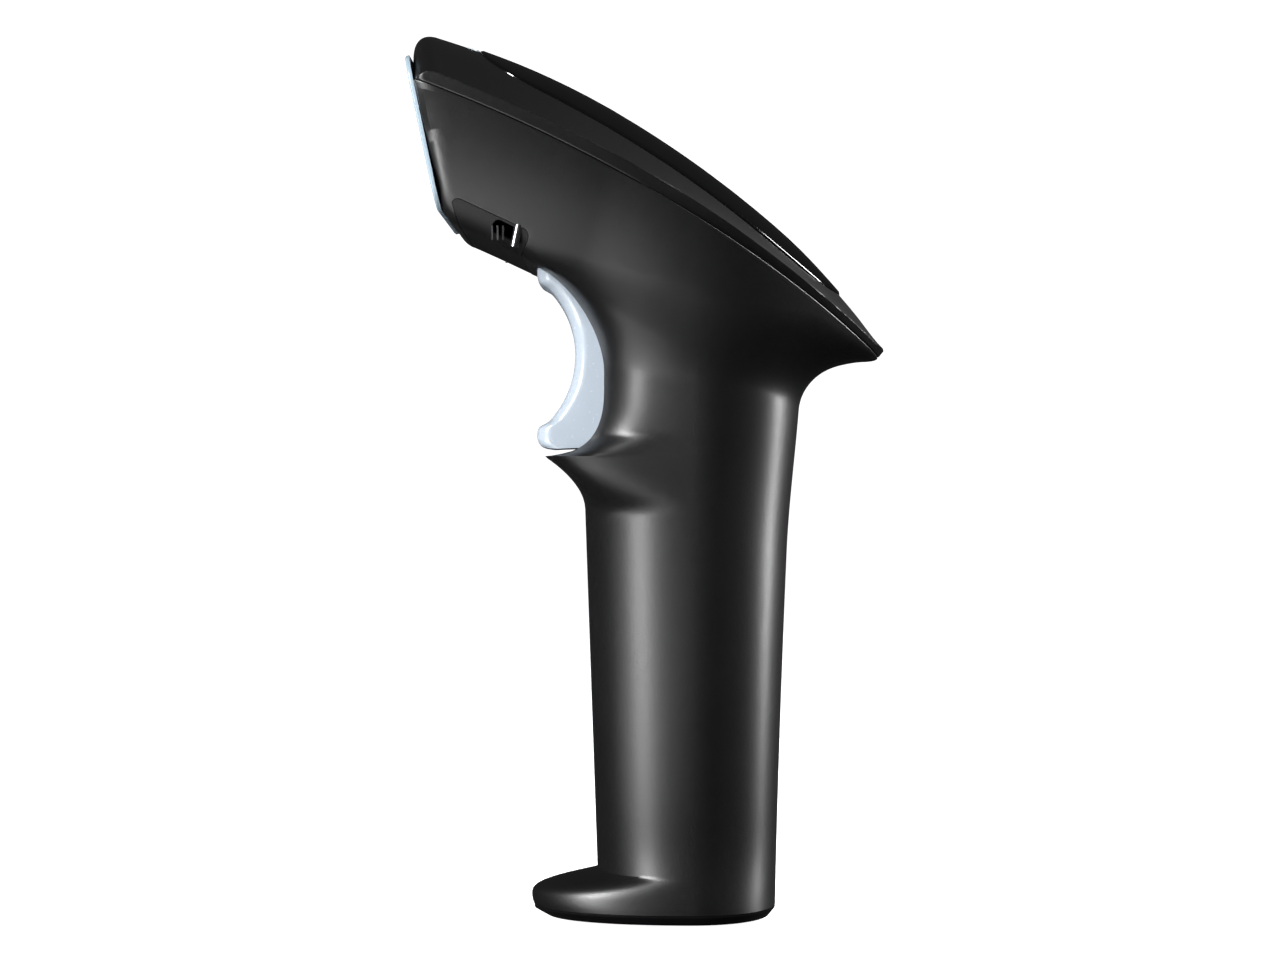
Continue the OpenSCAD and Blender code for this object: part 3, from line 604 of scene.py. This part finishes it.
# ---- nose bezel ----
bezel_rings = [nose_ring(-0.05, rounded(30.5, -27.6, 1.8, 6))]
for a in np.radians(np.linspace(0, 90, 7)):
    i = 0.45 * (1 - math.cos(a))
    bezel_rings.append(nose_ring(-0.45 - 0.45 * math.sin(a),
                                 rounded(30.5 - i, i - 27.6, 1.8 - i, 6 - i)))
for a in np.radians(np.linspace(90, 0, 6)):
    i = 0.5 * (1 - math.cos(a))
    bezel_rings.append(nose_ring(-0.4 - 0.5 * math.sin(a),
                                 rounded(24 + i, -22.5 - i, i - 3.5, 2.5 + i)))
bezel_rings.append(nose_ring(1.2, rounded(24, -22.5, -3.5, 2.5)))
bezel_rings += [nose_ring(x, rounded(25.85, -24.35, -1.65, 3.85)) for x in (1.2, -0.05)]
bezel = rings_solid("bezel_frame", bezel_rings, loop=True)
finish_piece(bezel, "bezel_blue_grey", "body", "nose_bezel")

# ---- strap panel ----
panel = combine(panel_solid("strap_panel", 0, 0.05, 1.15), strap_slots(-0.1))
finish_piece(panel, "bracket_black", "body", "strap_bracket")

# ---- trigger ----
scoop = ([(-28.2, 125.2), (-28.4, 123.2), (-28.35, 122), (-27.8, 120.9)]
         + [(-39.6 + 18.4 * math.cos(a), 107.3 + 18.4 * math.sin(a))
            for a in np.radians(43 - 6.6 * np.arange(14))]
         + [(-28, 93.6), (-28.4, 92.2), (-28.2, 90.8), (-27.3, 89.8), (-25.8, 89.45)])
heel = ([(-19.5, 125.8), (-18, 125.4), (-16.6, 124.8), (-14.6, 123.4)]
        + [(-13 + 0.4 * math.cos(math.radians(k * 25)), 121.2 - k * 1.93) for k in range(14)]
        + [(-13.6, 94), (-14.6, 92.2), (-16, 91), (-18, 90.1), (-20, 89.7)])


def along(points, u):
    return np.array([float(curve([(i, p[k]) for i, p in enumerate(points)], u)) for k in (0, 1)])


def trigger_ring(u, w, r, back, front):
    """Section across the trigger: flat cheeks, rounded edges, a slightly crowned face."""
    f, k = along(scoop, u), along(heel, u)
    d = float(np.hypot(*(f - k)))
    e, c = (f - k) / d, min(r, d / 3)
    top = d - front
    half = [(w, back), (w, (back + top - c) / 2)]
    half += [(w - c + c * math.cos(a), top - c + c * math.sin(a))
             for a in np.radians(np.linspace(0, 90, 10))]
    half += [((w - c) * q, top + 0.15 * (1 - q * q)) for q in (0.85, 0.68, 0.5, 0.3, 0.1)]
    ring = half + [(-p, q) for p, q in half[::-1]]
    return [(k[0] + e[0] * q, p, k[1] + e[1] * q) for p, q in ring]


stations = len(scoop) - 1
trigger = rings_solid("finger_trigger", [trigger_ring(u, TRIG_W, 3, 0, 0)
                                         for u in np.linspace(0, stations, 133)])
hollow = rings_solid("hollow", [trigger_ring(u, TRIG_W - 1.8, 1.5, -3, 1.8)
                                for u in np.linspace(2, stations - 3, 40)])
combine(trigger, [hollow, rod("bore", (PIVOT[0], -20, PIVOT[1]), (0, 1, 0), 1.7, 40)])
finish_piece(trigger, "trigger_blue_grey", "trigger", "trigger")


# ---- base plate ----
def egg(z_form, grow, z, n=240):
    t = np.linspace(0, 2 * math.pi, n, endpoint=False)
    c, s = np.cos(t), np.sin(t)
    e = np.where(c < 0, blunt(z_form), REAR_POWER)
    a, b = np.where(c < 0, front_a(z_form), rear_a(z_form)) + grow, side_b(z_form) + grow
    q = (np.abs(c / a) ** e + np.abs(s / b) ** e) ** (-1 / e)
    return np.stack([GRIP_X + q * c, q * s, np.full(n, z)], -1)


base = rings_solid("foot_plate", [
    egg(0.0, -1.45, 0), egg(0.0, -1.3, 0.02), egg(0.0, -1.18, 0.08), egg(1.0, -0.62, 0.8),
    egg(2.0, -0.14, 1.42), egg(2.0, -0.07, 1.52), egg(2.0, -0.05, 1.62), egg(2.0, -0.05, 1.9),
    egg(2.0, -0.1, 1.95), egg(4.0, -2.35, 1.95), egg(4.0, -2.35, 4.0)])
jack_cut = brick("jack_cut", (1, -7.9, -1), (12.8, 7.9, 7))
combine(base, [jack_cut] + [rod("hole", (x, 0, -1), (0, 0, 1), r, h) for x in BASE_SCREWS
                            for r, h in ((1.15, 7), (2.1, 2.6))])
finish_piece(base, "base_black", "body", "base_plate")

# ---- return spring, a coil from its free end to its fixed end ----
COIL_FREE, COIL_FIXED, COIL_Z = -8.3, -4.3, 96.0
COIL_R, WIRE_R, TURNS = 2.35, 0.28, 5
coil_rings = []
for k in np.linspace(0, 1, 241):
    a = 2 * math.pi * TURNS * k
    ring = []
    for b in np.linspace(0, 2 * math.pi, 12, endpoint=False):
        r = COIL_R + WIRE_R * math.cos(b)
        ring.append((COIL_FREE + (COIL_FIXED - COIL_FREE) * k + WIRE_R * math.sin(b),
                     r * math.cos(a), COIL_Z + r * math.sin(a)))
    coil_rings.append(ring)
coil = rings_solid("return_coil", coil_rings)
finish_piece(coil, "steel", "body", "trigger_return_spring")
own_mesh(coil)

# ---- floor, light and camera ----
floor_mat = look("studio_floor", (0.86, 0.86, 0.86), 0.6, (40, 0.02, 0.2), 0.01,
                 emission_color=(1, 1, 1, 1), emission_strength=1.0)
card_mat = look("studio_card", (0.8, 0.8, 0.8), 0.7, (40, 0.02, 0.2), 0.01,
                emission_color=(1, 1, 1, 1), emission_strength=1.1)


def studio_surface(name, profile, drop, mat):
    """White surface over rows (y, z, left x, right x), in metres."""
    me = bpy.data.meshes.new(name)
    me.from_pydata([(x, y, z - drop) for y, z, *ends in profile for x in ends], [],
                   grid_faces(len(profile), 2))
    me.shade_smooth()
    me.materials.append(mat)
    ob = bpy.data.objects.new(name, me)
    bpy.context.scene.collection.objects.link(ob)
    return ob


sweep = [(-1.6, 0.0, -6, 6), (2.2, 0.0, -6, 6), (3.1, 4.0, -6, 6)]
sweep[2:2] = [(2.2 + 0.9 * math.sin(a), 0.9 - 0.9 * math.cos(a), -6, 6)
              for a in np.radians(np.linspace(6, 90, 15))]
backdrop = studio_surface("studio_floor", sweep, 0.0006, floor_mat)
backdrop.visible_glossy = backdrop.visible_diffuse = False
table = studio_surface("studio_table", [(-0.4, 0.0, -0.45, 0.05), (-0.04, 0.0, -0.45, -0.1)],
                       0.0002, card_mat)
table.visible_camera = False

AIM = Vector((0.0, 0.0, 0.09))
WORLD_COLOUR, WORLD_STRENGTH = (0.97, 0.98, 1.0, 1), 0.02
LENS, SENSOR, CAMERA_AT = 81.6, 36.0, (-0.0089, -0.560, 0.0836)     # mm, mm, metres


def softbox(name, bearing, distance, height, size, power):
    """Soft light at a bearing from the camera's side, in degrees, plus to the right."""
    a = math.radians(bearing)
    data = bpy.data.lights.new(name, "AREA")
    data.shape, data.size, data.size_y, data.energy = "RECTANGLE", size[0], size[1], power
    ob = bpy.data.objects.new(name, data)
    ob.location = (distance * math.sin(a), -distance * math.cos(a), height)
    ob.rotation_euler = (AIM - ob.location).to_track_quat("-Z", "Y").to_euler()
    bpy.context.scene.collection.objects.link(ob)
    return ob


softbox("key_left", -48, 1.1, 0.55, (0.22, 0.6), 28)
softbox("low_left", -48, 0.42, 0.02, (0.13, 0.06), 0.75)
softbox("rim_right", 101, 0.9, 0.40, (0.14, 0.9), 20)
softbox("fill", 0, 1.2, 0.9, (0.9, 0.9), 3).visible_glossy = False
world = bpy.data.worlds.new("studio")
bpy.context.scene.world = world
world.use_nodes = True
sky = world.node_tree.nodes["Background"].inputs
sky["Color"].default_value, sky["Strength"].default_value = WORLD_COLOUR, WORLD_STRENGTH
bpy.context.scene.view_settings.view_transform = "Standard"

camera_data = bpy.data.cameras.new("camera")
camera_data.lens, camera_data.sensor_width = LENS, SENSOR
camera = bpy.data.objects.new("camera", camera_data)
camera.location, camera.rotation_euler = CAMERA_AT, (math.pi / 2, 0, 0)
bpy.context.scene.collection.objects.link(camera)
bpy.context.scene.camera = camera
